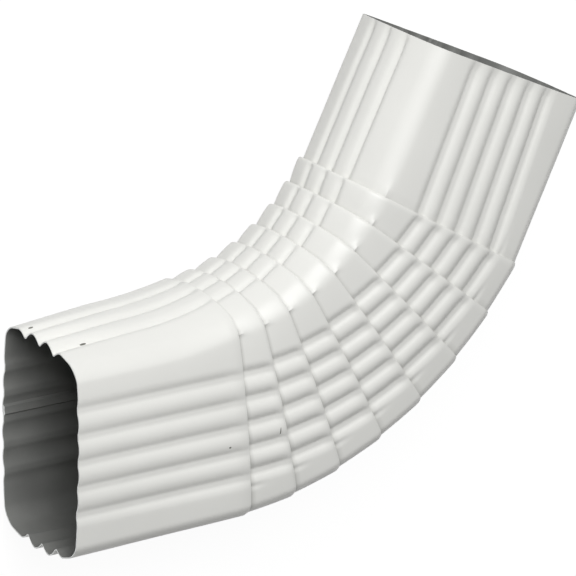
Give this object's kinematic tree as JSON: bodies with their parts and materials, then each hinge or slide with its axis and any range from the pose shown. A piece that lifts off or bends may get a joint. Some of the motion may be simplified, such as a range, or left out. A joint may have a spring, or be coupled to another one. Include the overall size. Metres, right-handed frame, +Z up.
{
  "type": "downspout elbow",
  "caption": "White fluted sheet-metal downspout elbow of rectangular section, crimped into a sideways bend, that turns rainwater from one straight pipe to the next.",
  "frame": {"origin": "on the surface it rests on, under the middle of its outline", "axes": "+X along the straight leg of the small end, towards the bend; +Y towards the throat, the inside of the bend; +Z up, square to the plane of the bend. The elbow lies on its seamed wide side, at rest."},
  "size_m": [0.2252, 0.1738, 0.052],
  "materials": {
    "white_enamel": "low-gloss baked white enamel on aluminium sheet, with a grey coat inside"
  },
  "bodies": {
    "root": {"elbow_body": "white_enamel"}
  },
  "joints": []
}
